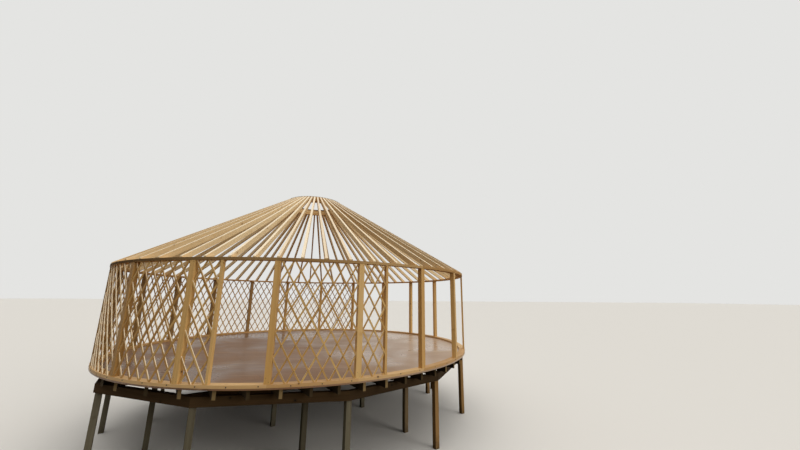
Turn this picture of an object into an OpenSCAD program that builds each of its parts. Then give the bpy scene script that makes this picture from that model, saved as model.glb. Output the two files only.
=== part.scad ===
// Timber frame of a round yurt on a raised round deck, before any cover goes on.
// Twenty equal bays of posts stand between two curved plates. Lattice panels fill
// thirteen openings, two doorways and seven bays stay open, and straight rafters
// rise to a ring at the crown. Joists, bearers and square stumps carry the deck.
// Azimuths are measured from the front (-Y) towards the right (+X).

/* [Plan] */
// Outer radius of the deck and of the two round plates
outer_r = 4250; // [3400:50:5000]
// Number of equal bays between the main posts
bays = 20; // [18:1:22]
// Front doorway, between the centre lines of its two posts
front_door_w = 834; // [700:2:1000]
// Side doorway, between the centre lines of its two posts
side_door_w = 843; // [700:1:1000]

/* [Walls] */
// Height of a plate, bottom or top
plate_h = 45; // [35:1:70]
// Width of a plate, from its outer to its inner edge
plate_w = 140; // [120:5:190]
// Clear height between the bottom plate and the top plate
wall_clear_h = 1780; // [1600:10:2400]
// Side of a square main post
post_w = 90; // [70:5:115]
// Thickness of the slimmer posts: the door jambs, and one post laid flat to the wall
jamb_w = 40; // [35:5:90]
// Depth of a door jamb, from its outer to its inner face
jamb_d = 70; // [40:5:90]
// Set-back of the posts from the outer edge of the plates
post_setback = 5; // [0:1:20]

/* [Lattice] */
// Width of a lath
lath_w = 26; // [20:1:50]
// Thickness of a lath
lath_t = 13; // [8:1:18]
// How far the two layers of laths are pressed into each other
lath_bite = 1; // [0.5:0.5:3]
// Width of a diamond, measured along the wall
diamond_w = 205; // [160:5:300]
// Height of a diamond
diamond_h = 364; // [300:4:500]
// Distance from the outer edge of the plates to the outer face of the laths
lattice_inset = 10; // [6:1:60]
// Side clearance between the laths and the posts
lattice_gap = 0.3; // [0.2:0.1:2]
// Distance from a panel's side edge to its outermost crossings
edge_margin = 3; // [2:0.5:8]

/* [Roof] */
// Number of rafters
rafters = 64; // [56:4:72]
// Thickness of a rafter
rafter_t = 45; // [35:1:50]
// Depth of a rafter, square to its length
rafter_depth = 90; // [70:5:110]
// Height of the upright cut at the foot of a rafter
heel_h = 20; // [15:1:45]
// Slope of the rafters, in degrees
roof_pitch = 31; // [25:0.1:38]
// How far the hand-set feet wander from even spacing, in degrees
foot_drift = 1.6; // [0:0.1:2]
// Number of times that the wander repeats around the roof
drift_waves = 5; // [1:1:8]
// Azimuth of the first rafter, in degrees
first_rafter_az = 5.7; // [0:0.1:6]

/* [Crown] */
// Outer radius of the crown ring
crown_r = 770; // [680:10:900]
// Thickness of the crown ring's wall
crown_wall = 90; // [60:5:140]
// Depth of the crown ring
crown_h = 150; // [130:5:200]
// Thickness of the steel ring plate on the crown
crown_plate_t = 8; // [4:1:16]
// How far the steel ring plate reaches past the crown ring's inner face
crown_plate_lip = 20; // [0:5:60]
// Clearance between the rafter heads and the crown ring
head_gap = 0.3; // [0.2:0.1:1]

/* [Deck] */
// Thickness of the floor sheets
floor_t = 25; // [18:1:36]
// Depth of a joist
joist_h = 140; // [90:5:190]
// Thickness of a joist
joist_t = 45; // [35:1:50]
// Distance between joists, centre to centre
joist_pitch = 400; // [380:10:420]
// Sideways shift of the joist grid from the centre of the deck
joist_shift = -80; // [-200:10:200]
// Azimuth that the joists point to, in degrees
joist_az = 32; // [0:1:90]
// How far the first joist on the left stands in from the grid
left_joist_in = 190; // [0:10:300]
// Set-back of the joist ends from the edge of the floor
joist_setback = 60; // [0:1:60]
// Depth of a bearer
bearer_h = 140; // [90:5:190]
// Thickness of a bearer
bearer_t = 90; // [45:5:140]
// Number of straight bearers round the edge of the deck
ring_bearers = 12; // [12:1:12]
// Distance from the edge of the floor to the outer corners of the bearer ring
ring_inset = 160; // [140:10:300]
// Azimuth of the first corner of the bearer ring, in degrees
ring_az = 21.3; // [0:0.1:30]
// How far two corners in three stand off even spacing, in degrees
ring_drift = 1.3; // [0:0.1:2]
// How much further out the corner at the left-hand front stands
left_corner_out = 110; // [0:10:120]
// How far that corner is turned away from the front, in degrees
left_corner_turn = 1.8; // [0:0.1:3]
// Distance between the inner bearers, centre to centre
inner_bearer_pitch = 1900; // [1700:10:2000]
// Gap at the joints between bearers
bearer_gap = 0.6; // [0.4:0.2:3]

/* [Stumps] */
// Side of a square stump
stump_w = 90; // [75:5:125]
// Height of the finished floor above the lowest ground
floor_level = 1500; // [900:10:2000]
// Distance from the outer corner of the bearer ring to the centre of its stump
stump_inset = 78; // [65:1:110]
// Distance between the inner stumps along a bearer
inner_stump_pitch = 2230; // [2000:10:2400]
// Sideways shift of the inner stumps from the centre of the deck
inner_stump_shift = 173; // [-300:1:300]

/* [Hidden] */

pine = "#d8b878";
pale_pine = "#e6cf9a";
sheet_brown = "#8a6a55";
treated_green = "#5d5038";
stump_grey = "#7a7463";
dark_steel = "#3b3d3f";

round_faces = 720;
over = 40;

// Heights, from the ground up
floor_z = floor_level;
joist_z = floor_z - floor_t - joist_h;
bearer_z = joist_z - bearer_h;
sill_z = floor_z + plate_h;
head_z = sill_z + wall_clear_h;
eaves_z = head_z + plate_h;

// Plan of the posts
bay = 360 / bays;
post_r = outer_r - post_setback - post_w / 2;
front_door_a = 2 * asin(front_door_w / 2 / post_r);
side_door_a = 2 * asin(side_door_w / 2 / post_r);
function main_az(k) = front_door_a / 2 + bay * k;
entry_jamb_az = -front_door_a / 2;
side_jamb_az = main_az(2) - side_door_a;

// Plan of the lattice
lattice_out_r = outer_r - lattice_inset;
lattice_mid_r = lattice_out_r - lath_t;
lattice_in_r = lattice_mid_r - lath_t;

// Slope of the roof
rise = tan(roof_pitch);
rafter_drop = rafter_depth / cos(roof_pitch);
crown_top_z = eaves_z + heel_h + (outer_r - crown_r) * rise;

// Plan of the bearers. Corner rim_corner of the ring has no stump of its own: the one
// there stands further out, under the end of joist rim_joist.
ring_corner_r = outer_r - ring_inset;
ring_step = 360 / ring_bearers;
ring_groups = 3;
rim_corner = 2;
rim_joist = 8;
left_corner = 10;
left_joist = -10;
inner_lines = [-1.5, -0.5, 0.5, 1.5];
corner_drifts = [ring_drift, 0, -ring_drift];
function corner_r(k) = ring_corner_r + (k == left_corner ? left_corner_out : 0);
function corner_az(k) = ring_az + ring_step * k + corner_drifts[(k + ring_groups) % ring_groups]
    - (k == left_corner ? left_corner_turn : 0);

// Corner k of the ring in plan, the direction of the bearer that starts there, and the
// direction from its outer to its inner face
function corner(k) = corner_r(k) * [sin(corner_az(k)), -cos(corner_az(k))];
function along(k) = (corner(k + 1) - corner(k)) / norm(corner(k + 1) - corner(k));
function inward(k) = [-along(k)[1], along(k)[0]];

// Where bearers k - 1 and k meet, at depth behind their outer faces
function ring_point(k, depth) =
    corner(k) + depth * (inward(k - 1) + inward(k)) / (1 + inward(k - 1) * inward(k));

// Place of joist k across the joists, from the centre of the deck
function joist_x(k) = joist_shift + joist_pitch * k + (k == left_joist ? left_joist_in : 0);

// A sector of a ring with a square section, from azimuth a0 to a1
module ring_arc(r_in, r_out, h, a0, a1) {
    rotate([0, 0, a0 - 90])
        rotate_extrude(angle = a1 - a0, $fn = round_faces)
            translate([r_in, 0]) square([r_out - r_in, h]);
}

// Puts a piece that points along -Y at azimuth az and radius r
module at_azimuth(az, r = 0) {
    rotate([0, 0, az]) translate([0, -r, 0]) children();
}

module deck_floor() {
    color(sheet_brown)
        translate([0, 0, floor_z - floor_t]) cylinder(h = floor_t, r = outer_r, $fn = round_faces);
}

// One quarter of a round plate, jointed over the centres of two posts
module plate_quarter(z, q) {
    first = floor(bays * q / 4);
    last = floor(bays * (q + 1) / 4);
    color(pale_pine)
        translate([0, 0, z])
            ring_arc(outer_r - plate_w, outer_r, plate_h, main_az(first), main_az(last));
}

// A post, t wide along the wall and d deep
module post(az, t = post_w, d = post_w) {
    at_azimuth(az, post_r)
        translate([-t / 2, -post_w / 2, sill_z]) cube([t, d, wall_clear_h]);
}

// The four posts beside the two doorways
module door_posts() {
    color(pine) {
        post(entry_jamb_az, jamb_w, jamb_d);
        post(main_az(0));
        post(side_jamb_az, jamb_w, jamb_d);
        post(main_az(2));
    }
}

// Main posts from number first to number last
module post_run(first, last) {
    color(pine) for (k = [first : last]) post(main_az(k));
}

// The main posts of the right-hand half. Number 4 is a plank laid flat to the wall.
module right_posts() {
    post_run(1, 1);
    post_run(3, 3);
    color(pine) post(main_az(4), post_w, jamb_w);
    post_run(5, 7);
}

// Plan outline of a band round azimuth mid that bends once in each diamond, clear of
// the crossings, and runs a little past the panel at both ends
module bent_band(r_in, r_out, mid, cells, step) {
    bend = 2 * asin(step / 2 / lattice_mid_r);
    angles = [for (i = [-1 : cells]) mid + (i + 0.25 - cells / 2) * bend];
    outside = [for (a = angles) [r_out * sin(a), -r_out * cos(a)]];
    inside = [for (i = [len(angles) - 1 : -1 : 0]) [r_in * sin(angles[i]), -r_in * cos(angles[i])]];
    polygon(concat(outside, inside));
}

// Parallel laths of one layer, drawn flat: x along the wall, y up from the sill.
// lean is 1 where the laths lean to the right going up, and -1 to the left. shift
// moves the laths sideways, in diamonds.
module lath_layer(width, cells, step, lean, shift) {
    reach = wall_clear_h / 2 * (step / diamond_h);
    slack = over * step / diamond_h;
    half = lath_w / 2 / cos(atan(step / diamond_h));
    spare = ceil(wall_clear_h / diamond_h);
    for (i = [-spare : cells + spare]) {
        mid = (i + 0.5 + shift - cells / 2) * step;
        inside = min(mid + reach, width / 2) - max(mid - reach, -width / 2);
        if (inside > step / 4)
            polygon([
                [mid - lean * (reach + slack) - half, -over],
                [mid - lean * (reach + slack) + half, -over],
                [mid + lean * (reach + slack) + half, wall_clear_h + over],
                [mid + lean * (reach + slack) - half, wall_clear_h + over]
            ]);
    }
}

// A lattice panel between two post faces: two layers of laths, bent round the wall
// and fixed where they cross. The posts are t0 and t1 wide.
module lattice_panel(az0, t0, az1, t1, outer_lean = -1, shift = 0) {
    a0 = az0 + asin((t0 / 2 + lattice_gap) / lattice_in_r);
    a1 = az1 - asin((t1 / 2 + lattice_gap) / lattice_in_r);
    mid = (a0 + a1) / 2;
    width = 2 * lattice_mid_r * sin((a1 - a0) / 2);
    cells = max(1, round(width / diamond_w));
    step = (width - 2 * edge_margin) / cells;
    color(pine)
        intersection() {
            union()
                for (layer = [
                    [lattice_mid_r - lath_bite, lattice_out_r, outer_lean],
                    [lattice_in_r, lattice_mid_r, -outer_lean]
                ])
                    intersection() {
                        translate([0, 0, sill_z - over])
                            linear_extrude(wall_clear_h + 2 * over)
                                bent_band(layer[0], layer[1], mid, cells, step);
                        at_azimuth(mid, lattice_in_r - 2 * over)
                            translate([0, 0, sill_z]) rotate([90, 0, 0])
                                linear_extrude(4 * over) lath_layer(width, cells, step, layer[2], shift);
                    }
            translate([0, 0, sill_z])
                linear_extrude(wall_clear_h)
                    polygon([[0, 0], for (a = [a0, mid, a1]) outer_r * [sin(a), -cos(a)]]);
        }
}

// The panel in bay k, between main posts k and k + 1
module bay_lattice(k, outer_lean = -1, shift = 0) {
    lattice_panel(main_az(k), post_w, main_az(k + 1), post_w, outer_lean, shift);
}

// Side view of a rafter: x outwards from the centre of the roof, y up from the eaves
module rafter_profile() {
    head_r = crown_r - crown_wall / 2;
    head_top = heel_h + (outer_r - head_r) * rise;
    seat = (rafter_drop - heel_h) / rise;
    polygon([
        [head_r, head_top],
        [outer_r, heel_h],
        [outer_r, 0],
        [outer_r - seat, 0],
        [head_r, head_top - rafter_drop]
    ]);
}

// A rafter from the crown ring to the top plate. drift is the azimuth of its foot
// less that of its head.
module rafter(az, drift) {
    skew = drift * outer_r / (outer_r - crown_r);
    at_azimuth(az, crown_r) rotate([0, 0, skew]) translate([0, crown_r, eaves_z])
        rotate([90, 0, -90]) translate([0, 0, -rafter_t / 2])
            linear_extrude(rafter_t) rafter_profile();
}

// One quarter of the rafters, cut off at the crown ring
module rafter_quarter(q) {
    count = rafters / 4;
    color(pale_pine)
        difference() {
            for (i = [q * count : (q + 1) * count - 1])
                rafter(first_rafter_az + 360 / rafters * i,
                    -foot_drift * sin(360 * drift_waves * i / rafters));
            translate([0, 0, eaves_z])
                cylinder(h = crown_top_z, r = crown_r + head_gap, $fn = round_faces);
        }
}

module crown_ring() {
    color(pine)
        translate([0, 0, crown_top_z - crown_h])
            difference() {
                cylinder(h = crown_h, r = crown_r, $fn = round_faces);
                translate([0, 0, -over])
                    cylinder(h = crown_h + 2 * over, r = crown_r - crown_wall, $fn = round_faces);
            }
}

module crown_plate() {
    color(dark_steel)
        translate([0, 0, crown_top_z])
            difference() {
                cylinder(h = crown_plate_t, r = crown_r, $fn = round_faces);
                translate([0, 0, -over])
                    cylinder(
                        h = crown_plate_t + 2 * over,
                        r = crown_r - crown_wall - crown_plate_lip,
                        $fn = round_faces
                    );
            }
}

// Joists from number first to number last, trimmed to the round of the deck
module joist_run(first, last) {
    color(treated_green)
        at_azimuth(joist_az)
            intersection() {
                for (k = [first : last])
                    translate([joist_x(k) - joist_t / 2, -outer_r, joist_z])
                        cube([joist_t, 2 * outer_r, joist_h]);
                translate([0, 0, joist_z])
                    cylinder(h = joist_h, r = outer_r - joist_setback, $fn = round_faces);
            }
}

// Every third straight bearer of the ring, from number first, mitred at the corners
module ring_bearer_set(first) {
    color(treated_green)
        for (k = [first : ring_groups : ring_bearers - 1]) {
            end_gap = along(k) * bearer_gap / 2;
            translate([0, 0, bearer_z])
                linear_extrude(bearer_h)
                    polygon([
                        ring_point(k, 0) + end_gap,
                        ring_point(k + 1, 0) - end_gap,
                        ring_point(k + 1, bearer_t) - end_gap,
                        ring_point(k, bearer_t) + end_gap
                    ]);
        }
}

// Straight bearers under the middle of the deck, square to the joists
module inner_bearers() {
    color(treated_green)
        intersection() {
            at_azimuth(joist_az)
                for (line = inner_lines)
                    translate([-outer_r, inner_bearer_pitch * line - bearer_t / 2, bearer_z])
                        cube([2 * outer_r, bearer_t, bearer_h]);
            translate([0, 0, bearer_z])
                linear_extrude(bearer_h)
                    polygon([
                        for (k = [0 : ring_bearers - 1]) ring_point(k, bearer_t + bearer_gap)
                    ]);
        }
}

// A square stump from the ground up, to the underside of the bearers unless h is given
module stump(h = bearer_z) {
    translate([-stump_w / 2, -stump_w / 2, 0]) cube([stump_w, stump_w, h]);
}

// The stump at the right-hand edge of the deck, flush with the end of its joist
module rim_stump() {
    x = joist_x(rim_joist);
    joist_end = sqrt(pow(outer_r - joist_setback, 2) - pow(x + joist_t / 2, 2));
    at_azimuth(joist_az) translate([x, stump_w / 2 - joist_end, 0]) stump(joist_z);
}

// Stumps round the edge, turned square with the joists
module outer_stumps() {
    color(stump_grey) {
        for (k = [0 : ring_bearers - 1])
            if (k != rim_corner)
                at_azimuth(corner_az(k), corner_r(k) - stump_inset)
                    rotate([0, 0, joist_az - corner_az(k)]) stump();
        rim_stump();
    }
}

module inner_stumps() {
    color(stump_grey)
        at_azimuth(joist_az)
            for (line = inner_lines)
                for (k = abs(line) > 1 ? [-0.5, 0.5] : [-1.5, -0.5, 0.5, 1.5])
                    translate([inner_stump_shift + inner_stump_pitch * k, inner_bearer_pitch * line, 0])
                        stump();
}

deck_floor();
plate_quarter(floor_z, 0);  // bottom_plate_right_front
plate_quarter(floor_z, 1);  // bottom_plate_right_back
plate_quarter(floor_z, 2);  // bottom_plate_left_back
plate_quarter(floor_z, 3);  // bottom_plate_left_front
plate_quarter(head_z, 0);  // top_plate_right_front
plate_quarter(head_z, 1);  // top_plate_right_back
plate_quarter(head_z, 2);  // top_plate_left_back
plate_quarter(head_z, 3);  // top_plate_left_front
door_posts();
right_posts();
post_run(8, 13);  // back_posts
post_run(14, bays - 1);  // left_posts
bay_lattice(0);  // lattice_front
lattice_panel(main_az(1), post_w, side_jamb_az, jamb_w);  // lattice_front_half
lattice_panel(main_az(-1), post_w, entry_jamb_az, jamb_w);  // lattice_entry_half
bay_lattice(bays - 2, 1);  // lattice_left_1
bay_lattice(bays - 3, -1, 0.5);  // lattice_left_2
bay_lattice(bays - 4);  // lattice_left_3
bay_lattice(bays - 5, 1);  // lattice_left_4
bay_lattice(bays - 6);  // lattice_left_5
bay_lattice(bays - 7, 1);  // lattice_back_1
bay_lattice(bays - 8);  // lattice_back_2
bay_lattice(bays - 9, 1);  // lattice_back_3
bay_lattice(bays - 10);  // lattice_back_4
bay_lattice(bays - 11, 1);  // lattice_back_5
rafter_quarter(0);  // rafters_right_front
rafter_quarter(1);  // rafters_right_back
rafter_quarter(2);  // rafters_left_back
rafter_quarter(3);  // rafters_left_front
crown_ring();
crown_plate();
joist_run(-10, -4);  // joists_left
joist_run(-3, 3);  // joists_middle
joist_run(4, 10);  // joists_right
ring_bearer_set(0);  // ring_bearers_right
ring_bearer_set(1);  // ring_bearers_left
ring_bearer_set(2);  // ring_bearers_corner
inner_bearers();
outer_stumps();
inner_stumps();
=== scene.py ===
"""The bare timber frame of a round yurt on its raised deck, dressed in the order it is built."""

import math

import bpy
from mathutils import Matrix, Vector


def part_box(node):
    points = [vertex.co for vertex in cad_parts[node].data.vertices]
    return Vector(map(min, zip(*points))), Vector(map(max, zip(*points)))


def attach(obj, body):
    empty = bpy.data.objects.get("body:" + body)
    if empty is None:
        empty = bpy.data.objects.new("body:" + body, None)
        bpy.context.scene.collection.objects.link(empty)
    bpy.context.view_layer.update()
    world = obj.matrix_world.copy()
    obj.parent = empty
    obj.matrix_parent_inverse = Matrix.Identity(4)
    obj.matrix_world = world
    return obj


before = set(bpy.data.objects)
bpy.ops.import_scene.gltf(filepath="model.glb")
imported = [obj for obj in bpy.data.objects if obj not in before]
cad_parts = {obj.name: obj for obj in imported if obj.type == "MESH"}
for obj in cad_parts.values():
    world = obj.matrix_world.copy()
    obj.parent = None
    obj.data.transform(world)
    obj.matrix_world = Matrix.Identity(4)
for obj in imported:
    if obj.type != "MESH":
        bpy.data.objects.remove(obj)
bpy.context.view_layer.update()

# --- Stumps ------------------------------------------------------------------
# Square treated pine stumps that carry the bearers, left rough from the saw. The
# weather has made them dull grey brown, and their feet are damp and darker. The
# newer ones at the right are still brown.


def linear(hex_colour):
    """The linear colour of an sRGB hex value."""
    parts = [int(hex_colour[i : i + 2], 16) / 255 for i in (1, 3, 5)]
    return [c / 12.92 if c <= 0.04045 else ((c + 0.055) / 1.055) ** 2.4 for c in parts] + [1.0]


def put(tree, kind, inputs=None, **settings):
    """Adds a node. inputs gives its sockets, by name or number, a value or a link."""
    node = tree.nodes.new(kind)
    for key, value in settings.items():
        setattr(node, key, value)
    for key, value in (inputs or {}).items():
        if isinstance(value, bpy.types.NodeSocket):
            tree.links.new(value, node.inputs[key])
        else:
            node.inputs[key].default_value = value
    return node


def timber_figure():
    """A group that draws the figure of a sawn board. Place is along, across and through
    the board in metres, and Board is its number, so that no two boards look alike."""
    tree = bpy.data.node_groups.new("timber_figure", "ShaderNodeTree")
    for name, kind, way in (
        ("Place", "NodeSocketVector", "INPUT"),
        ("Board", "NodeSocketFloat", "INPUT"),
        ("Pale", "NodeSocketColor", "INPUT"),
        ("Deep", "NodeSocketColor", "INPUT"),
        ("Knot", "NodeSocketColor", "INPUT"),
        ("Colour", "NodeSocketColor", "OUTPUT"),
        ("Roughness", "NodeSocketFloat", "OUTPUT"),
        ("Height", "NodeSocketFloat", "OUTPUT"),
    ):
        tree.interface.new_socket(name, in_out=way, socket_type=kind)
    given = put(tree, "NodeGroupInput").outputs
    # Each board is cut from its own part of the log
    log_reach = (9.0, 0.12, 0.12)
    luck = put(tree, "ShaderNodeTexWhiteNoise", {"W": given["Board"]}, noise_dimensions="1D")
    shift = put(tree, "ShaderNodeVectorMath", {0: luck.outputs["Color"], 1: log_reach},
                operation="MULTIPLY")
    place = put(tree, "ShaderNodeVectorMath", {0: given["Place"], 1: shift.outputs[0]}).outputs[0]
    # Broad bands of sapwood and heartwood, about 40 mm wide and 1.2 m long
    bands_per_metre = (0.8, 25.0, 25.0)
    long_way = put(tree, "ShaderNodeVectorMath", {0: place, 1: bands_per_metre},
                   operation="MULTIPLY")
    bands = put(tree, "ShaderNodeTexNoise",
                {"Vector": long_way.outputs[0], "Scale": 1.0, "Detail": 2.0, "Roughness": 0.5})
    # Growth rings 8 mm apart, round a pith that lies outside the board. The wave
    # texture makes 20 waves in a full turn at scale 1.
    ring_width, ring_stretch, waves_in_turn = 0.008, (0.12, 1.0, 1.0), 20
    ring_way = put(tree, "ShaderNodeVectorMath", {0: place, 1: ring_stretch},
                   operation="MULTIPLY")
    rings = put(tree, "ShaderNodeTexWave",
                {"Vector": ring_way.outputs[0],
                 "Scale": 2 * math.pi / (waves_in_turn * ring_width),
                 "Distortion": 2.5, "Detail": 2.0, "Detail Scale": 0.6},
                wave_type="RINGS", rings_direction="X", wave_profile="SAW")
    late_wood_edge, late_wood_depth = 3.0, 0.4
    line = put(tree, "ShaderNodeMath", {0: rings.outputs["Fac"], 1: late_wood_edge},
               operation="POWER")
    line = put(tree, "ShaderNodeMath", {0: line.outputs[0], 1: late_wood_depth},
               operation="MULTIPLY")
    # Fibres drawn about 2 mm wide, coarser than real ones so that they show. They
    # also give the sawn face its tooth.
    fibres_per_metre = (12.0, 450.0, 450.0)
    fibre_way = put(tree, "ShaderNodeVectorMath", {0: place, 1: fibres_per_metre},
                    operation="MULTIPLY")
    fibres = put(tree, "ShaderNodeTexNoise",
                 {"Vector": fibre_way.outputs[0], "Scale": 1.0, "Detail": 2.0})
    # Knots about 28 mm across, a few in each board, with darker wood round them
    knot_pitch = 0.21
    knots = put(tree, "ShaderNodeTexVoronoi", {"Vector": place, "Scale": 1 / knot_pitch})
    knot = put(tree, "ShaderNodeMapRange",
               {"Value": knots.outputs["Distance"], "From Min": 0.085, "From Max": 0.05},
               interpolation_type="SMOOTHSTEP")
    halo = put(tree, "ShaderNodeMapRange",
               {"Value": knots.outputs["Distance"], "From Min": 0.22, "From Max": 0.07,
                "To Max": 0.55})
    tone = put(tree, "ShaderNodeMath",
               {0: bands.outputs[0], 1: luck.outputs["Value"]}, operation="ADD")
    part = put(tree, "ShaderNodeMapRange",
               {"Value": tone.outputs[0], "From Min": 0.45, "From Max": 1.5})
    wood = given["Pale"]
    for amount, darker in ((part, "Deep"), (line, "Deep"), (halo, "Deep"), (knot, "Knot")):
        wood = put(tree, "ShaderNodeMix", {"Factor": amount.outputs[0], 6: wood,
                                           7: given[darker]}, data_type="RGBA").outputs[2]
    shade = put(tree, "ShaderNodeMapRange", {"Value": fibres.outputs[0], "To Min": 0.88,
                                             "To Max": 1.12})
    toned = put(tree, "ShaderNodeVectorMath", {0: wood, "Scale": shade.outputs[0]},
                operation="SCALE")
    rough = put(tree, "ShaderNodeMapRange", {"Value": bands.outputs[0], "To Min": 0.42,
                                             "To Max": 0.66})
    ring_relief = 0.5
    height = put(tree, "ShaderNodeMath", {0: fibres.outputs[0], 1: rings.outputs["Fac"],
                                          2: ring_relief}, operation="MULTIPLY_ADD")
    put(tree, "NodeGroupOutput", {"Colour": toned.outputs[0], "Roughness": rough.outputs[0],
                                  "Height": height.outputs[0]})
    return tree


board_figure = timber_figure()


def new_finish(name):
    """A new material, its tree and its shader."""
    material = bpy.data.materials.new(name)
    material.use_nodes = True
    return material, material.node_tree, material.node_tree.nodes["Principled BSDF"]


def board_finish(name, place, colours, tooth, stains_and_painted_light=None, dressed=True):
    """A timber material. place(tree) gives the board's own coordinates and number,
    colours are its pale wood, deep wood and knots, and tooth is the depth of its grain.
    The argument after tooth gives, from tree and number, the stains and the painted
    light and shade that lie over it, each an amount and a colour. Timber that is left
    rough from the saw isn't dressed, and hardly shines."""
    material, tree, skin = new_finish(name)
    where, number = place(tree)
    pale, deep, knot = [linear(colour) for colour in colours]
    figure = put(tree, "ShaderNodeGroup",
                 {"Place": where, "Board": number, "Pale": pale, "Deep": deep, "Knot": knot},
                 node_tree=board_figure)
    colour, rough = figure.outputs["Colour"], figure.outputs["Roughness"]
    for amount, stain_and_light_colour in stains_and_painted_light(tree, number) if stains_and_painted_light else ():
        colour = put(tree, "ShaderNodeMix", {"Factor": amount, 6: colour, 7: linear(stain_and_light_colour)},
                     data_type="RGBA").outputs[2]
    if not dressed:
        saw_marks = 0.34
        rough = put(tree, "ShaderNodeMath", {0: rough, 1: saw_marks}).outputs[0]
    bump = put(tree, "ShaderNodeBump", {"Height": figure.outputs["Height"], "Strength": 0.5,
                                        "Distance": tooth})
    for socket, source in (("Base Color", colour), ("Roughness", rough),
                           ("Normal", bump.outputs[0])):
        tree.links.new(source, skin.inputs[socket])
    planed_sheen, sawn_sheen = 0.3, 0.12
    skin.inputs["Specular IOR Level"].default_value = planed_sheen if dressed else sawn_sheen
    return material


def dress(material, *nodes):
    """Gives CAD nodes their finish."""
    for node in nodes:
        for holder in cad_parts[node].material_slots:
            holder.material = material


# The joists point this way, and the stumps and inner bearers stand square to them
joist_az = math.radians(32)


def upright_place(tree):
    """Along a stump is up, and it is numbered by the 0.9 m square that it stands in."""
    spot = put(tree, "ShaderNodeTexCoord").outputs["Object"]
    turned = put(tree, "ShaderNodeVectorRotate", {"Vector": spot, "Angle": -joist_az},
                 rotation_type="Z_AXIS")
    across = put(tree, "ShaderNodeSeparateXYZ", {0: turned.outputs[0]}).outputs
    place = put(tree, "ShaderNodeCombineXYZ", {0: across[2], 1: across[0], 2: across[1]})
    # The squares are taller than any stump, so that height doesn't change the number
    square, number_by = (0.9, 0.9, 9.0), (3.1, 7.3, 0.0)
    cell = put(tree, "ShaderNodeVectorMath", {0: spot, 1: square}, operation="SNAP")
    number = put(tree, "ShaderNodeVectorMath", {0: cell.outputs[0], 1: number_by},
                 operation="DOT_PRODUCT")
    return place.outputs[0], number.outputs["Value"]


def age_and_damp(tree, number):
    """The stumps on the right are newer and still brown. Every foot is wet, up to a
    ragged edge about 300 mm above its end."""
    spot = put(tree, "ShaderNodeTexCoord").outputs["Object"]
    side, _, height = put(tree, "ShaderNodeSeparateXYZ", {0: spot}).outputs
    new = put(tree, "ShaderNodeMapRange", {"Value": side, "From Min": 2.4, "From Max": 3.0,
                                           "To Max": 0.8})
    ragged = put(tree, "ShaderNodeTexNoise", {"Vector": spot, "Scale": 14.0})
    ragged_by = 0.35
    edge = put(tree, "ShaderNodeMath", {0: ragged.outputs[0], 1: ragged_by, 2: height},
               operation="MULTIPLY_ADD")
    wet = put(tree, "ShaderNodeMapRange", {"Value": edge.outputs[0], "From Min": 0.45,
                                           "From Max": 0.15, "To Max": 0.6})
    return (new.outputs[0], "#a27a47"), (wet.outputs[0], "#3d362a")


dress(board_finish("weathered_treated_pine", upright_place, ("#78715d", "#5a5342", "#3a3428"),
                   0.0012, age_and_damp, dressed=False), "outer_stumps", "inner_stumps")

# --- Bearers -----------------------------------------------------------------
# Rough-sawn treated pine, 90 x 140 mm: twelve in a ring with mitred corners and
# four straight ones inside it. Rain has made them dark brown, and they are dull.


def azimuth_of(tree, spot):
    """The angle round the yurt in radians, from the front towards the right, the
    distance from its centre line, and the height."""
    axes = put(tree, "ShaderNodeSeparateXYZ", {0: spot}).outputs
    front = put(tree, "ShaderNodeMath", {0: axes[1], 1: -1.0}, operation="MULTIPLY")
    azimuth = put(tree, "ShaderNodeMath", {0: axes[0], 1: front.outputs[0]},
                  operation="ARCTAN2")
    flat = put(tree, "ShaderNodeVectorMath", {0: spot, 1: (1.0, 1.0, 0.0)},
               operation="MULTIPLY")
    radius = put(tree, "ShaderNodeVectorMath", {0: flat.outputs[0]}, operation="LENGTH")
    return azimuth.outputs[0], radius.outputs["Value"], axes[2]


def counted(tree, value, start, pitch):
    """The number of the board that a value falls in, where boards follow one another
    from start, pitch apart, and the same before it is cut to a whole number."""
    turns = put(tree, "ShaderNodeMath", {0: value, 1: start}, operation="SUBTRACT")
    turns = put(tree, "ShaderNodeMath", {0: turns.outputs[0], 1: pitch}, operation="DIVIDE")
    number = put(tree, "ShaderNodeMath", {0: turns.outputs[0]}, operation="FLOOR")
    return number.outputs[0], turns.outputs[0]


def ring_bearer_place(first_az):
    """The four bearers of a node lie a quarter turn apart, the first at first_az."""

    def place(tree):
        quarter = math.pi / 2
        spot = put(tree, "ShaderNodeTexCoord").outputs["Object"]
        azimuth, _, _ = azimuth_of(tree, spot)
        side, _ = counted(tree, azimuth, first_az - quarter / 2, quarter)
        turn = put(tree, "ShaderNodeMath", {0: side, 1: -quarter, 2: -first_az},
                   operation="MULTIPLY_ADD")
        turned = put(tree, "ShaderNodeVectorRotate", {"Vector": spot, "Angle": turn.outputs[0]},
                     rotation_type="Z_AXIS")
        return turned.outputs[0], side

    return place


def straight_place(turn, start, pitch):
    """Boards that lie side by side, with their length turned from +X."""

    def place(tree):
        spot = put(tree, "ShaderNodeTexCoord").outputs["Object"]
        turned = put(tree, "ShaderNodeVectorRotate", {"Vector": spot, "Angle": -turn},
                     rotation_type="Z_AXIS").outputs[0]
        across = put(tree, "ShaderNodeSeparateXYZ", {0: turned}).outputs[1]
        return turned, counted(tree, across, start, pitch)[0]

    return place


bearer_colours, bearer_tooth = ("#503c24", "#2e2214", "#19130c"), 0.0015
inner_bearer_pitch = 1.9
for node, place in (
    ("ring_bearers_right", ring_bearer_place(math.radians(36.95))),
    ("ring_bearers_left", ring_bearer_place(math.radians(65.65))),
    ("ring_bearers_corner", ring_bearer_place(math.radians(96.3))),
    ("inner_bearers", straight_place(joist_az, 0.0, inner_bearer_pitch)),
):
    dress(board_finish("sawn_treated_" + node, place, bearer_colours, bearer_tooth,
                       dressed=False), node)

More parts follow.
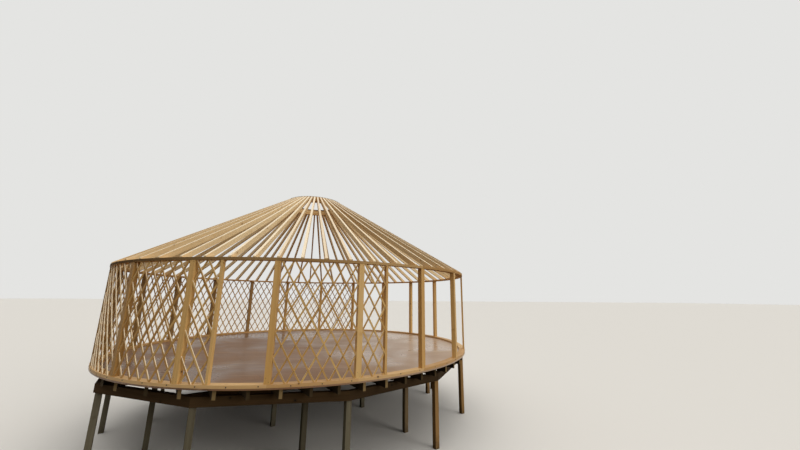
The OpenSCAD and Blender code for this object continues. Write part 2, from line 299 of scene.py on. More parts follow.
# --- Joists ------------------------------------------------------------------
# Treated pine, 45 x 140 mm on edge at 400 mm centres, rough and dark. Their ends are
# cut to the round of the deck, and some of them show pale under the floor's edge.


def facing_out(tree, spot):
    """How squarely a face looks away from the yurt's centre line, from -1 to 1."""
    way = put(tree, "ShaderNodeVectorMath", {0: spot, 1: (1.0, 1.0, 0.0)},
              operation="MULTIPLY")
    way = put(tree, "ShaderNodeVectorMath", {0: way.outputs[0]}, operation="NORMALIZE")
    normal = put(tree, "ShaderNodeNewGeometry").outputs["True Normal"]
    return put(tree, "ShaderNodeVectorMath", {0: way.outputs[0], 1: normal},
               operation="DOT_PRODUCT").outputs["Value"]


def cut_ends(tree, number):
    """Fresh end grain, paler than the treated faces. It shows pale on some joists, and
    not on the others."""
    spot = put(tree, "ShaderNodeTexCoord").outputs["Object"]
    _, radius, _ = azimuth_of(tree, spot)
    ends_from_r, square_to_rim = 4.180, 0.9
    outer = put(tree, "ShaderNodeMath", {0: radius, 1: ends_from_r}, operation="GREATER_THAN")
    end = put(tree, "ShaderNodeMath", {0: facing_out(tree, spot), 1: square_to_rim},
              operation="GREATER_THAN")
    # A wave that quickens along the row of joists tells which ends are pale
    quickening, first_speed, wave_start = 0.091, -4.85, 0.9
    wave = put(tree, "ShaderNodeMath", {0: number, 1: quickening, 2: first_speed},
               operation="MULTIPLY_ADD")
    wave = put(tree, "ShaderNodeMath", {0: wave.outputs[0], 1: number, 2: wave_start},
               operation="MULTIPLY_ADD")
    wave = put(tree, "ShaderNodeMath", {0: wave.outputs[0]}, operation="SINE")
    pale_ends = put(tree, "ShaderNodeMapRange", {"Value": wave.outputs[0], "From Min": -0.1,
                                            "From Max": 0.2, "To Min": 0.12})
    amount = put(tree, "ShaderNodeMath", {0: outer.outputs[0], 1: end.outputs[0]},
                 operation="MULTIPLY")
    amount = put(tree, "ShaderNodeMath", {0: amount.outputs[0], 1: pale_ends.outputs[0]},
                 operation="MULTIPLY")
    return ((amount.outputs[0], "#8d7650"),)


joist_pitch, joist_shift, joists_count_from = 0.400, -0.080, -0.136
dress(board_finish("treated_joist",
                   straight_place(joist_az + math.pi / 2, joists_count_from, joist_pitch),
                   ("#40331f", "#2a2115", "#18120c"), 0.0008, cut_ends, dressed=False),
      "joists_left", "joists_middle", "joists_right")

# --- Floor -------------------------------------------------------------------
# Brown particleboard flooring, 25 mm thick, in sheets of 3600 x 800 mm that are
# glued and screwed to the joists. It is wet, so it shines where water stands. Its
# pale streaks and its paler right side and back are a painted sheen of the sky.

sheet_long, sheet_wide, joint, chip_w = 3.6, 0.8, 0.002, 0.006


def floor_sheet_finish():
    """Pressed chips of wood under a worn skin, glossy where wet, with a painted sheen of the sky
    in pale streaks and on the right side and the back.
    """
    material, tree, skin = new_finish("wet_particleboard")
    spot = put(tree, "ShaderNodeTexCoord").outputs["Object"]
    turned = put(tree, "ShaderNodeVectorRotate", {"Vector": spot, "Angle": -joist_az},
                 rotation_type="Z_AXIS").outputs[0]
    sheets = put(tree, "ShaderNodeTexBrick",
                 {"Vector": turned, "Color1": linear("#755131"), "Color2": linear("#845e3a"),
                  "Mortar": linear("#4d3826"), "Scale": 1.0, "Mortar Size": joint,
                  "Mortar Smooth": 0.2, "Brick Width": sheet_long, "Row Height": sheet_wide})
    chips = put(tree, "ShaderNodeTexVoronoi", {"Vector": spot, "Scale": 1 / chip_w})
    chip = put(tree, "ShaderNodeMapRange", {"Value": chips.outputs["Color"], "To Min": 0.86,
                                            "To Max": 1.14})
    colour = put(tree, "ShaderNodeVectorMath", {0: sheets.outputs["Color"],
                                                "Scale": chip.outputs[0]},
                 operation="SCALE").outputs[0]
    # Standing water and damp, in patches a metre or so across
    pools = put(tree, "ShaderNodeTexNoise", {"Vector": turned, "Scale": 0.55, "Detail": 4.0,
                                             "Distortion": 0.6})
    damp = put(tree, "ShaderNodeMapRange", {"Value": pools.outputs[0], "From Min": 0.4,
                                            "From Max": 0.62})
    # Painted sheen: pale streaks about 50 mm wide, where the wet floor mirrors the sky
    streaks_per_metre = (0.6, 13.0, 1.0)
    swept = put(tree, "ShaderNodeVectorMath", {0: spot, 1: streaks_per_metre},
                operation="MULTIPLY")
    streaks = put(tree, "ShaderNodeTexNoise", {"Vector": swept.outputs[0], "Scale": 1.6,
                                               "Detail": 3.0})
    painted_sheen_streaks = put(tree, "ShaderNodeMapRange", {"Value": streaks.outputs[0], "From Min": 0.53,
                                             "From Max": 0.68, "To Max": 0.5})
    # Painted reflection: the right-hand side and the back are drawn paler and greyer, as the wet
    # floor there mirrors the sky
    sheen_toward, ragged_by = (0.2, 0.06, 0.0), 0.7
    side = put(tree, "ShaderNodeVectorMath", {0: spot, 1: sheen_toward},
               operation="DOT_PRODUCT")
    ragged = put(tree, "ShaderNodeMath", {0: pools.outputs[0], 1: ragged_by,
                                          2: side.outputs["Value"]}, operation="MULTIPLY_ADD")
    painted_sky_sheen = put(tree, "ShaderNodeMapRange", {"Value": ragged.outputs[0], "From Min": 0.25,
                                           "From Max": 1.05, "To Max": 0.95})
    for amount, stain_and_light_colour in ((damp, "#654426"), (painted_sheen_streaks, "#ac8861"), (painted_sky_sheen, "#bb9f82")):
        colour = put(tree, "ShaderNodeMix", {"Factor": amount.outputs[0], 6: colour,
                                             7: linear(stain_and_light_colour)}, data_type="RGBA").outputs[2]
    # Water fills the grain, so the damp patches shine
    gloss = put(tree, "ShaderNodeMapRange", {"Value": damp.outputs[0], "To Min": 0.5,
                                             "To Max": 0.24})
    relief = put(tree, "ShaderNodeMath", {0: sheets.outputs["Fac"], 1: -1.0},
                 operation="MULTIPLY")
    bump = put(tree, "ShaderNodeBump", {"Height": relief.outputs[0], "Strength": 0.6,
                                        "Distance": 0.001})
    for socket, source in (("Base Color", colour), ("Roughness", gloss.outputs[0]),
                           ("Normal", bump.outputs[0])):
        tree.links.new(source, skin.inputs[socket])
    return material


dress(floor_sheet_finish(), "deck_floor")


def steel_finish(name, colour, roughness):
    """Zinc-plated steel: a grey metal, dulled in blotches by a thin skin of rust."""
    material, tree, skin = new_finish(name)
    skin.inputs["Metallic"].default_value = 0.9
    spot = put(tree, "ShaderNodeTexCoord").outputs["Object"]
    blotches = put(tree, "ShaderNodeTexNoise", {"Vector": spot, "Scale": 40.0, "Detail": 3.0})
    tint = put(tree, "ShaderNodeMix", {"Factor": blotches.outputs[0], 6: linear(colour),
                                       7: linear("#4a3a2c")}, data_type="RGBA")
    spread = 0.12
    rough = put(tree, "ShaderNodeMapRange", {"Value": blotches.outputs[0],
                                             "To Min": roughness - spread,
                                             "To Max": roughness + spread})
    tree.links.new(tint.outputs[2], skin.inputs["Base Color"])
    tree.links.new(rough.outputs[0], skin.inputs["Roughness"])
    return material


def head_tree():
    """Geometry Nodes: a fastener's head on each point of a mesh, facing the way that the
    point's facing attribute gives, and turned and tilted by a little luck."""
    tree = bpy.data.node_groups.new("fastener_heads", "GeometryNodeTree")
    tree.is_modifier = True
    for name, kind, way in (
        ("Points", "NodeSocketGeometry", "INPUT"),
        ("Sides", "NodeSocketInt", "INPUT"),
        ("Head radius", "NodeSocketFloat", "INPUT"),
        ("Head height", "NodeSocketFloat", "INPUT"),
        ("Washer radius", "NodeSocketFloat", "INPUT"),
        ("Tilt", "NodeSocketFloat", "INPUT"),
        ("Seed", "NodeSocketInt", "INPUT"),
        ("Steel", "NodeSocketMaterial", "INPUT"),
        ("Heads", "NodeSocketGeometry", "OUTPUT"),
    ):
        tree.interface.new_socket(name, in_out=way, socket_type=kind)
    given = put(tree, "NodeGroupInput").outputs
    top_part, washer_part, washer_sides, no_washer = 0.8, 0.3, 12, 0.0001
    top_radius = put(tree, "ShaderNodeMath", {0: given["Head radius"], 1: top_part},
                     operation="MULTIPLY")
    head = put(tree, "GeometryNodeMeshCone",
               {"Vertices": given["Sides"], "Radius Bottom": given["Head radius"],
                "Radius Top": top_radius.outputs[0], "Depth": given["Head height"]})
    washer_height = put(tree, "ShaderNodeMath", {0: given["Head height"], 1: washer_part},
                        operation="MULTIPLY")
    washer = put(tree, "GeometryNodeMeshCone",
                 {"Vertices": washer_sides, "Radius Bottom": given["Washer radius"],
                  "Radius Top": given["Washer radius"], "Depth": washer_height.outputs[0]})
    plain = put(tree, "FunctionNodeCompare", {0: given["Washer radius"], 1: no_washer},
                operation="LESS_THAN")
    kept = put(tree, "GeometryNodeSwitch", {"Switch": plain.outputs[0],
                                            "False": washer.outputs["Mesh"]})
    both = put(tree, "GeometryNodeJoinGeometry")
    tree.links.new(kept.outputs[0], both.inputs[0])
    tree.links.new(head.outputs["Mesh"], both.inputs[0])
    facing = put(tree, "GeometryNodeInputNamedAttribute", {"Name": "facing"},
                 data_type="FLOAT_VECTOR")
    aim = put(tree, "FunctionNodeAlignRotationToVector",
              {"Vector": facing.outputs["Attribute"]}, axis="Z")
    low = put(tree, "ShaderNodeMath", {0: given["Tilt"], 1: -1.0}, operation="MULTIPLY")
    least = put(tree, "ShaderNodeCombineXYZ", {0: low.outputs[0], 1: low.outputs[0]})
    whole_turn = 6.28
    most = put(tree, "ShaderNodeCombineXYZ", {0: given["Tilt"], 1: given["Tilt"],
                                              2: whole_turn})
    chance = put(tree, "FunctionNodeRandomValue",
                 {0: least.outputs[0], 1: most.outputs[0], "Seed": given["Seed"]},
                 data_type="FLOAT_VECTOR")
    lean = put(tree, "FunctionNodeEulerToRotation", {0: chance.outputs[0]})
    turned = put(tree, "FunctionNodeRotateRotation",
                 {0: aim.outputs[0], 1: lean.outputs[0]}, rotation_space="LOCAL")
    set_out = put(tree, "GeometryNodeInstanceOnPoints",
                  {"Points": given["Points"], "Instance": both.outputs[0],
                   "Rotation": turned.outputs[0]})
    real = put(tree, "GeometryNodeRealizeInstances", {0: set_out.outputs[0]})
    painted = put(tree, "GeometryNodeSetMaterial", {"Geometry": real.outputs[0],
                                                    "Material": given["Steel"]})
    put(tree, "NodeGroupOutput", {0: painted.outputs[0]})
    return tree


heads = head_tree()


def fasten(name, points, seed, sides, radius, height, steel, washer=0.0, tilt=0.02):
    """Sets a head at each (place, facing) and keeps them all as one plain piece."""
    mesh = bpy.data.meshes.new(name)
    mesh.from_pydata([place for place, _ in points], [], [])
    mesh.attributes.new("facing", "FLOAT_VECTOR", "POINT").data.foreach_set(
        "vector", [v for _, facing in points for v in facing])
    holder = bpy.data.objects.new(name + "_points", mesh)
    bpy.context.scene.collection.objects.link(holder)
    modifier = holder.modifiers.new("heads", "NODES")
    modifier.node_group = heads
    values = {"Sides": sides, "Head radius": radius, "Head height": height,
              "Washer radius": washer, "Tilt": tilt, "Seed": seed, "Steel": steel}
    for item in heads.interface.items_tree:
        if item.name in values:
            modifier[item.identifier] = values[item.name]
    ready = holder.evaluated_get(bpy.context.evaluated_depsgraph_get())
    piece = bpy.data.objects.new(name, bpy.data.meshes.new_from_object(ready))
    bpy.context.scene.collection.objects.link(piece)
    bpy.data.objects.remove(holder)
    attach(piece, "root")
    return piece


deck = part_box("deck_floor")
floor_z, outer_r = deck[1].z, deck[1].x
up = (0.0, 0.0, 1.0)
first_joist, last_joist, first_joist_in = -10, 10, 0.19
screw_inset, screw_pitch = 0.03, 0.3
floor_screws = []
for k in range(first_joist, last_joist + 1):
    across = joist_shift + joist_pitch * k + (first_joist_in if k == first_joist else 0)
    reach = math.sqrt((outer_r - screw_inset) ** 2 - across**2)
    count = int(2 * reach / screw_pitch)
    for i in range(count + 1):
        place = Vector((across, -reach + 2 * reach * i / count, floor_z))
        floor_screws.append((Matrix.Rotation(joist_az, 3, "Z") @ place, up))
fasten("floor_screws", floor_screws, seed=3, sides=8, radius=0.0042, height=0.0008,
       steel=steel_finish("dull_screw_steel", "#6d6a64", 0.5))

# --- Bottom plate ------------------------------------------------------------
# A curved plate of dressed pine, 45 x 140 mm, in four lengths, with a low sheen.
# Coach screws with washers pull it together every six degrees on the outer face.

bays = 20
bay = math.radians(360 / bays)
front_door_w, post_w, post_setback = 0.834, 0.090, 0.005
post_r = outer_r - post_setback - post_w / 2
first_post_az = math.asin(front_door_w / 2 / post_r)


def curved_place(tree):
    """Along a curved piece is round the yurt, and its wood changes at each bay."""
    spot = put(tree, "ShaderNodeTexCoord").outputs["Object"]
    azimuth, radius, z = azimuth_of(tree, spot)
    along = put(tree, "ShaderNodeMath", {0: azimuth, 1: outer_r}, operation="MULTIPLY")
    place = put(tree, "ShaderNodeCombineXYZ", {0: along.outputs[0], 1: radius, 2: z})
    return place.outputs[0], counted(tree, azimuth, first_post_az, bay)[0]


plate_colours, planed_tooth = ("#dcb780", "#bb8f58", "#6b4526"), 0.0003
quarters = ("right_front", "right_back", "left_back", "left_front")
dress(board_finish("dressed_pine_plate", curved_place, plate_colours, planed_tooth),
      *["bottom_plate_" + q for q in quarters])


def at(azimuth, radius, z):
    """The place at an azimuth in radians, from the front towards the right."""
    return Vector((radius * math.sin(azimuth), -radius * math.cos(azimuth), z))


coach_steel = steel_finish("dull_coach_screw_steel", "#4c4a48", 0.55)
sill_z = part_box("bottom_plate_left_back")[1].z
coach_screws, screw_step, first_screw, screws_in = 60, 6, -1.5, 0.0008
screw_wander, wander_turn = 0.006, 5.3
plate_screws = []
for k in range(coach_screws):
    azimuth = first_post_az + math.radians(screw_step * k + first_screw)
    z = (floor_z + sill_z) / 2 + screw_wander * math.sin(wander_turn * k)
    plate_screws.append((at(azimuth, outer_r - screws_in, z), at(azimuth, 1, 0)))
fasten("bottom_plate_screws", plate_screws, seed=5, sides=6, radius=0.0065, height=0.005,
       steel=coach_steel, washer=0.010)

# --- Posts -------------------------------------------------------------------
# Dressed pine posts, 90 mm square, with 40 mm jambs at the two doorways and a plank
# laid flat to the wall at the right. They stand on the bottom plate, skew-nailed.


def post_place(tree):
    """Along a post is up, and it is numbered by its quarter of a bay."""
    spot = put(tree, "ShaderNodeTexCoord").outputs["Object"]
    azimuth, radius, z = azimuth_of(tree, spot)
    across = put(tree, "ShaderNodeMath", {0: azimuth, 1: post_r}, operation="MULTIPLY")
    place = put(tree, "ShaderNodeCombineXYZ", {0: z, 1: across.outputs[0], 2: radius})
    return place.outputs[0], counted(tree, azimuth, first_post_az - bay / 8, bay / 4)[0]


def painted_left_shade(tree, number):
    """Painted shade: the posts on the left are drawn a darker and greener brown, as they stand in
    shade.
    """
    spot = put(tree, "ShaderNodeTexCoord").outputs["Object"]
    side = put(tree, "ShaderNodeSeparateXYZ", {0: spot}).outputs[0]
    # The amount of painted shade, growing toward the left
    wet = put(tree, "ShaderNodeMapRange", {"Value": side, "From Min": -0.9, "From Max": -3.4,
                                           "To Max": 0.75})
    return ((wet.outputs[0], "#6d5028"),)


dress(board_finish("dressed_pine_post", post_place, ("#dfb878", "#c2924e", "#5e3a1c"),
                   planed_tooth, painted_left_shade),
      "door_posts", "right_posts", "back_posts", "left_posts")

head_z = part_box("top_plate_left_back")[0].z
side_door_w = 0.843
side_jamb_az = first_post_az + 2 * bay - 2 * math.asin(side_door_w / 2 / post_r)
# Each post has four nails, reach to the left or right of its middle
post_reach, jamb_reach = 0.022, 0.010
posts = [(first_post_az + bay * k, post_reach) for k in range(bays)]
posts += [(-first_post_az, jamb_reach), (side_jamb_az, jamb_reach)]
low_nail, high_nail, nails_in = 0.030, 0.085, 0.0055
post_nails = []
for azimuth, reach in posts:
    outward, side = at(azimuth, 1, 0), at(azimuth + math.pi / 2, 1, 0)
    for z, way in ((sill_z + low_nail, 1), (sill_z + high_nail, -1),
                   (head_z - low_nail, 1), (head_z - high_nail, -1)):
        place = at(azimuth, outer_r - nails_in, z) + side * reach * way
        post_nails.append((place, outward))
nail_steel = steel_finish("dark_nail_steel", "#3d3a37", 0.5)
fasten("post_nails", post_nails, seed=7, sides=8, radius=0.0040, height=0.0015,
       steel=nail_steel)

# --- Lattice -----------------------------------------------------------------
# Panels of planed pine laths, 26 x 13 mm, in two layers that lean opposite ways.
# They are bent round the wall and nailed where they cross, and their upper edges
# are painted paler, a painted highlight of the sky above.

lath_t, lattice_inset, lath_gap, edge_margin = 0.013, 0.010, 0.0003, 0.003
diamond_w, diamond_h, jamb_w = 0.205, 0.364, 0.040
lath_mid_r = outer_r - lattice_inset - lath_t
lath_in_r, lath_out_r = lath_mid_r - lath_t, lath_mid_r + lath_t
mid_z = (sill_z + head_z) / 2


def panel_between(az0, width0, az1, width1):
    """The middle azimuth, the number of diamonds and the width of one, between posts."""
    start = az0 + math.asin((width0 / 2 + lath_gap) / lath_in_r)
    end = az1 - math.asin((width1 / 2 + lath_gap) / lath_in_r)
    width = 2 * lath_mid_r * math.sin((end - start) / 2)
    cells = round(width / diamond_w)
    return (start + end) / 2, cells, (width - 2 * edge_margin) / cells


def lath_place(lean, cells, step, panel_az=None, shift=0.0):
    """Along a lath leans to the right on one layer and to the left on the other. lean
    is that of the outer layer, panel_az is given where the panel isn't a full bay, and
    shift moves the laths sideways, in diamonds."""

    def place(tree):
        spot = put(tree, "ShaderNodeTexCoord").outputs["Object"]
        azimuth, _, _ = azimuth_of(tree, spot)
        if panel_az is None:
            panel, _ = counted(tree, azimuth, first_post_az, bay)
            turn = put(tree, "ShaderNodeMath",
                       {0: panel, 1: -bay, 2: -first_post_az - bay / 2},
                       operation="MULTIPLY_ADD").outputs[0]
        else:
            panel, turn = panel_az, -panel_az
        flat = put(tree, "ShaderNodeVectorRotate", {"Vector": spot, "Angle": turn},
                   rotation_type="Z_AXIS")
        flat = put(tree, "ShaderNodeSeparateXYZ", {0: flat.outputs[0]}).outputs
        # The layer is told from a point 3 mm inside the wood, straight behind the face
        depth, between_layers = -0.003, lath_mid_r - 0.0008
        normal = put(tree, "ShaderNodeNewGeometry").outputs["True Normal"]
        inside = put(tree, "ShaderNodeVectorMath", {0: normal, "Scale": depth},
                     operation="SCALE")
        inside = put(tree, "ShaderNodeVectorMath", {0: spot, 1: inside.outputs[0]})
        _, inside_r, _ = azimuth_of(tree, inside.outputs[0])
        outer = put(tree, "ShaderNodeMath", {0: inside_r, 1: between_layers},
                    operation="GREATER_THAN")
        leans = put(tree, "ShaderNodeMapRange", {"Value": outer.outputs[0],
                                                 "To Min": -lean, "To Max": lean})
        rise = put(tree, "ShaderNodeMath", {0: flat[2], 1: mid_z}, operation="SUBTRACT")
        slope = put(tree, "ShaderNodeMath", {0: leans.outputs[0], 1: step / diamond_h},
                    operation="MULTIPLY")
        moved = put(tree, "ShaderNodeMath", {0: rise.outputs[0], 1: slope.outputs[0]},
                    operation="MULTIPLY")
        across = put(tree, "ShaderNodeMath", {0: flat[0], 1: moved.outputs[0]},
                     operation="SUBTRACT")
        number, _ = counted(tree, across.outputs[0], (shift - cells / 2) * step, step)
        # No two laths of the same number look alike in other layers or panels
        for apart, by in ((outer.outputs[0], 31.0), (panel, 67.0)):
            number = put(tree, "ShaderNodeMath", {0: apart, 1: by, 2: number},
                         operation="MULTIPLY_ADD").outputs[0]
        length_to_rise = 1.14
        along = put(tree, "ShaderNodeMath", {0: rise.outputs[0], 1: length_to_rise},
                    operation="MULTIPLY")
        place = put(tree, "ShaderNodeCombineXYZ", {0: along.outputs[0], 1: across.outputs[0],
                                                   2: inside_r})
        return place.outputs[0], number

    return place


def painted_lit_edges(tree, number):
    """Painted highlight: the upper edges of a lath are drawn paler than its faces and lower
    edges, as the sky lights them from above.
    """
    spot = put(tree, "ShaderNodeTexCoord").outputs["Object"]
    facing = put(tree, "ShaderNodeMath", {0: facing_out(tree, spot)}, operation="ABSOLUTE")
    side_on, upturned = 0.5, 0.1
    edge = put(tree, "ShaderNodeMath", {0: facing.outputs[0], 1: side_on},
               operation="LESS_THAN")
    normal = put(tree, "ShaderNodeNewGeometry").outputs["True Normal"]
    rise = put(tree, "ShaderNodeSeparateXYZ", {0: normal}).outputs[2]
    upper = put(tree, "ShaderNodeMath", {0: rise, 1: upturned}, operation="GREATER_THAN")
    painted_highlight_mask = put(tree, "ShaderNodeMath", {0: edge.outputs[0], 1: upper.outputs[0]},
                   operation="MULTIPLY")
    return ((painted_highlight_mask.outputs[0], "#f8e6c6"),)


full = panel_between(first_post_az, post_w, first_post_az + bay, post_w)
front_half = panel_between(first_post_az + bay, post_w, side_jamb_az, jamb_w)
entry_half = panel_between(first_post_az - bay, post_w, -first_post_az, jamb_w)
for name, place, nodes in (
    ("outer_left", lath_place(-1, *full[1:]),
     ("lattice_front", "lattice_left_3", "lattice_left_5", "lattice_back_2",
      "lattice_back_4")),
    ("outer_right", lath_place(1, *full[1:]),
     ("lattice_left_1", "lattice_left_4", "lattice_back_1", "lattice_back_3",
      "lattice_back_5")),
    ("shifted", lath_place(-1, *full[1:], shift=0.5), ("lattice_left_2",)),
    ("front_half", lath_place(-1, *front_half[1:], front_half[0]), ("lattice_front_half",)),
    ("entry_half", lath_place(-1, *entry_half[1:], entry_half[0]), ("lattice_entry_half",)),
):
    dress(board_finish("pine_lath_" + name, place, ("#d4ae6c", "#b3874a", "#5c3a1c"),
                       planed_tooth, painted_lit_edges), *nodes)

# A lath's face lies 1 mm inside its round, because it is flat between bends
full_bays, shifted_bay, nail_rows, flat_by = (0, *range(9, 19)), 17, 4, 0.001
panels = [(first_post_az + bay * (k + 0.5), *full[1:], int(k == shifted_bay))
          for k in full_bays]
panels += [(*front_half, 0), (*entry_half, 0)]
lath_nails = []
for panel_az, cells, step, shifted in panels:
    turn = Matrix.Rotation(panel_az, 3, "Z")
    for column in range(1, 2 * cells):
        x = (column / 2 - cells / 2) * step
        bend = math.asin(x / lath_mid_r)
        for row in range(-nail_rows, nail_rows + 1):
            if (column + row) % 2 == shifted:
                continue
            z = mid_z + row * diamond_h / 2
            for radius, way in ((lath_out_r - flat_by, 1), (lath_in_r - flat_by, -1)):
                facing = turn @ Vector((math.sin(bend), -math.cos(bend), 0)) * way
                place = turn @ Vector((x, -radius * math.cos(x / radius), z))
                lath_nails.append((place, facing))
fasten("lath_nails", lath_nails, seed=11, sides=8, radius=0.0038, height=0.0016,
       steel=nail_steel, tilt=0.06)

# --- Top plate ---------------------------------------------------------------
# The same curved plate again, on the heads of the posts. No screws show on it. Its
# outer face is darkened by painted shade, most of all on the left, and it is dull.


def painted_outer_shade(tree, number):
    """Painted shade: darkens the faces that look straight outwards, more toward the left."""
    spot = put(tree, "ShaderNodeTexCoord").outputs["Object"]
    _, radius, _ = azimuth_of(tree, spot)
    rim_w, steep = 0.004, 0.5
    outer = put(tree, "ShaderNodeMath", {0: radius, 1: outer_r - rim_w},
                operation="GREATER_THAN")
    normal = put(tree, "ShaderNodeNewGeometry").outputs["True Normal"]
    rise = put(tree, "ShaderNodeSeparateXYZ", {0: normal}).outputs[2]
    flat = put(tree, "ShaderNodeMath", {0: rise}, operation="ABSOLUTE")
    upright = put(tree, "ShaderNodeMath", {0: flat.outputs[0], 1: steep},
                  operation="LESS_THAN")
    side = put(tree, "ShaderNodeSeparateXYZ", {0: spot}).outputs[0]
    # How deep the painted shade is, from light at the right to dark at the left
    depth = put(tree, "ShaderNodeMapRange", {"Value": side, "From Min": 3.0, "From Max": -2.5,
                                             "To Min": 0.15, "To Max": 0.95})
    amount = put(tree, "ShaderNodeMath", {0: outer.outputs[0], 1: upright.outputs[0]},
                 operation="MULTIPLY")
    amount = put(tree, "ShaderNodeMath", {0: amount.outputs[0], 1: depth.outputs[0]},
                 operation="MULTIPLY")
    return ((amount.outputs[0], "#543b20"),)


dress(board_finish("pine_plate_painted_shade", curved_place, plate_colours, planed_tooth,
                   painted_outer_shade, dressed=False), *["top_plate_" + q for q in quarters])

# --- Rafters -----------------------------------------------------------------
# Sixty-four dressed pine rafters, 45 x 90 mm, with a seat cut over the top plate.
# Their feet are spaced by eye, and two nails go down through each foot.

rafter_count, first_rafter_az = 64, math.radians(5.7)
rafter_step = math.radians(360 / rafter_count)
roof_pitch = math.radians(31)


def rafter_place(tree):
    """Along a rafter is down the slope, and it is numbered by its turn round the crown."""
    spot = put(tree, "ShaderNodeTexCoord").outputs["Object"]
    azimuth, radius, z = azimuth_of(tree, spot)
    number, turns = counted(tree, azimuth, first_rafter_az - rafter_step / 2, rafter_step)
    across = put(tree, "ShaderNodeMath", {0: turns, 1: number}, operation="SUBTRACT")
    for times in (radius, rafter_step):
        across = put(tree, "ShaderNodeMath", {0: across.outputs[0], 1: times},
                     operation="MULTIPLY")
    along = put(tree, "ShaderNodeMath", {0: radius, 1: 1 / math.cos(roof_pitch)},
                operation="MULTIPLY")
    depth = put(tree, "ShaderNodeMath", {0: radius, 1: math.tan(roof_pitch), 2: z},
                operation="MULTIPLY_ADD")
    place = put(tree, "ShaderNodeCombineXYZ", {0: along.outputs[0], 1: across.outputs[0],
                                               2: depth.outputs[0]})
    return place.outputs[0], number


def painted_lit_tops(tree, number):
    """Painted light: the upper faces of the rafters are drawn paler than their sides, as the sky
    lights them from above.
    """
    normal = put(tree, "ShaderNodeNewGeometry").outputs["True Normal"]
    rise = put(tree, "ShaderNodeSeparateXYZ", {0: normal}).outputs[2]
    upper = put(tree, "ShaderNodeMapRange", {"Value": rise, "From Min": 0.5, "From Max": 0.7,
                                             "To Max": 0.5})
    return ((upper.outputs[0], "#fdf0da"),)


dress(board_finish("dressed_pine_rafter", rafter_place, ("#f3dcb0", "#d0ae79", "#7a5230"),
                   planed_tooth, painted_lit_tops), *["rafters_" + q for q in quarters])

foot_drift, drift_waves, heel_h = 1.6, 5, 0.020
# How far each nail is in from the outer edge, and to the side of the rafter's middle
foot_nails = ((0.055, 0.010), (0.095, -0.010))
eaves_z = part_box("top_plate_left_back")[1].z
slope, slope_out = math.tan(roof_pitch), math.sin(roof_pitch)
rafter_nails = []
for i in range(rafter_count):
    wave = math.radians(360 * drift_waves * i / rafter_count)
    drift = math.radians(-foot_drift * math.sin(wave))
    azimuth = first_rafter_az + rafter_step * i + drift
    facing = at(azimuth, slope_out, math.cos(roof_pitch))
    for back, side in foot_nails:
        place = at(azimuth, outer_r - back, eaves_z + heel_h + back * slope)
        rafter_nails.append((place + at(azimuth + math.pi / 2, side, 0), facing))
fasten("rafter_nails", rafter_nails, seed=17, sides=8, radius=0.0042, height=0.0014,
       steel=nail_steel)

# --- Crown -------------------------------------------------------------------
# A laminated pine ring that the rafters butt against, with a steel ring plate on
# top, held by twenty-four bolts with washers.

crown_mid_r, lamination = 0.7, 0.025


def crown_place(tree):
    """Along the crown ring is round its circle, and each lamination is a board."""
    spot = put(tree, "ShaderNodeTexCoord").outputs["Object"]
    azimuth, radius, z = azimuth_of(tree, spot)
    along = put(tree, "ShaderNodeMath", {0: azimuth, 1: crown_mid_r}, operation="MULTIPLY")
    place = put(tree, "ShaderNodeCombineXYZ", {0: along.outputs[0], 1: radius, 2: z})
    return place.outputs[0], counted(tree, z, 0.0, lamination)[0]


dress(board_finish("laminated_pine_crown", crown_place, ("#e6c48c", "#c89a5c", "#6b4424"),
                   planed_tooth), "crown_ring")
dress(steel_finish("dull_crown_steel", "#4a4b4d", 0.45), "crown_plate")

crown_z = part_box("crown_plate")[1].z
bolt_count, bolt_circle_r = 24, 0.725
bolts = [(at(math.radians(360 / bolt_count * k), bolt_circle_r, crown_z), up)
         for k in range(bolt_count)]
fasten("crown_bolts", bolts, seed=19, sides=6, radius=0.0095, height=0.0075,
       steel=coach_steel, washer=0.015, tilt=0.0)

# --- Studio floor, light and camera ------------------------------------------
# A plain pale floor under the stumps, a soft sky and one soft sun, and a camera at
# the photograph's place and angle.


def seen_directly(tree):
    """1 for a ray from the camera, and for one that metal or gloss throws back."""
    rays = put(tree, "ShaderNodeLightPath").outputs
    seen = put(tree, "ShaderNodeMath", {0: rays["Is Camera Ray"], 1: rays["Is Glossy Ray"]},
               operation="MAXIMUM")
    seen = put(tree, "ShaderNodeMath", {0: seen.outputs[0], 1: rays["Is Transmission Ray"]},
               operation="MAXIMUM")
    return seen.outputs[0]


half_side = 300.0
mesh = bpy.data.meshes.new("studio_floor")
mesh.from_pydata([(-half_side, -half_side, 0), (half_side, -half_side, 0),
                  (half_side, half_side, 0), (-half_side, half_side, 0)],
                 [], [(0, 1, 2, 3)])
floor = bpy.data.objects.new("studio_floor", mesh)
bpy.context.scene.collection.objects.link(floor)
material, tree, skin = new_finish("pale_studio_floor")
skin.inputs["Roughness"].default_value = 0.9
skin.inputs["Base Color"].default_value = linear("#dedbd5")
# Only what the camera sees is pale: the light that the floor gives back is soft
dull = put(tree, "ShaderNodeBsdfDiffuse", {"Color": linear("#54493c")})
mixed = put(tree, "ShaderNodeMixShader", {0: seen_directly(tree), 1: dull.outputs[0],
                                          2: skin.outputs[0]})
tree.links.new(mixed.outputs[0], tree.nodes["Material Output"].inputs["Surface"])
mesh.materials.append(material)

scene = bpy.context.scene
world = bpy.data.worlds.new("studio_sky")
scene.world = world
world.use_nodes = True
sky = world.node_tree
light = sky.nodes["Background"]
light.inputs["Color"].default_value = (1.0, 0.985, 0.96, 1.0)
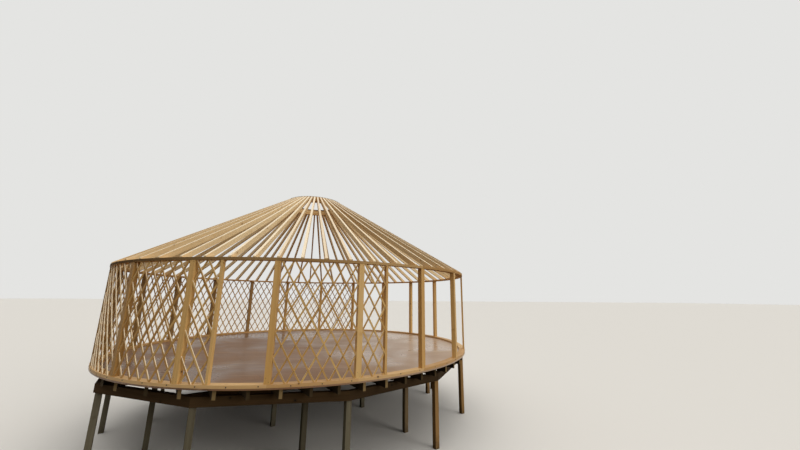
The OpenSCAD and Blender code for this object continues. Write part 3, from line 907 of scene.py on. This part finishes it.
# An overcast sky that is bright overhead, and an open side to the right of the front
way = put(sky, "ShaderNodeTexCoord").outputs["Generated"]
glow, falloff = 0.03, 3.0
for toward, strength in (((0.0, 0.0, 1.0), 2.0), ((0.66, -0.56, 0.5), 0.5)):
    near = put(sky, "ShaderNodeVectorMath", {0: way, 1: toward}, operation="DOT_PRODUCT")
    near = put(sky, "ShaderNodeMath", {0: near.outputs["Value"], 1: 0.0}, operation="MAXIMUM")
    near = put(sky, "ShaderNodeMath", {0: near.outputs[0], 1: falloff}, operation="POWER")
    near = put(sky, "ShaderNodeMath", {0: near.outputs[0], 1: strength, 2: glow},
               operation="MULTIPLY_ADD")
    glow = near.outputs[0]
sky.links.new(glow, light.inputs["Strength"])
backdrop = put(sky, "ShaderNodeBackground", {"Color": linear("#e4e4e2"), "Strength": 1.0})
shown = put(sky, "ShaderNodeMixShader", {0: seen_directly(sky), 1: light.outputs[0],
                                         2: backdrop.outputs[0]})
sky.links.new(shown.outputs[0], sky.nodes["World Output"].inputs["Surface"])

# A low, very soft sun stands to the right, so that the left-hand wall gets less light
lamp = bpy.data.lights.new("soft_sun", "SUN")
lamp.energy = 0.86
lamp.angle = math.radians(28)
lamp.color = (1.0, 0.98, 0.94)
sun = bpy.data.objects.new("soft_sun", lamp)
sun.rotation_euler = Vector((0.75, -0.61, 0.27)).to_track_quat("Z", "Y").to_euler()
scene.collection.objects.link(sun)

scene.view_settings.view_transform = "Standard"

# The camera was fitted to the posts, plates and rafter feet of the photograph, which
# is 800 pixels wide
place, focal_px, frame_px = (2.0283, -9.2687, 2.769), 317.8, 800
heading, pitch, roll = math.radians(3.265), math.radians(12.932), math.radians(0.433)
ahead = Vector((math.sin(heading) * math.cos(pitch), math.cos(heading) * math.cos(pitch),
                math.sin(pitch)))
level = Vector((math.cos(heading), -math.sin(heading), 0))
above = level.cross(ahead)
right = level * math.cos(roll) + above * math.sin(roll)
above = right.cross(ahead)
lens = bpy.data.cameras.new("camera")
lens.sensor_fit = "HORIZONTAL"
lens.sensor_width = 36
lens.lens = focal_px / frame_px * lens.sensor_width
lens.clip_end = 1000
camera = bpy.data.objects.new("camera", lens)
turn = Matrix((right, above, -ahead)).transposed().to_4x4()
camera.matrix_world = Matrix.Translation(place) @ turn
scene.collection.objects.link(camera)
scene.camera = camera
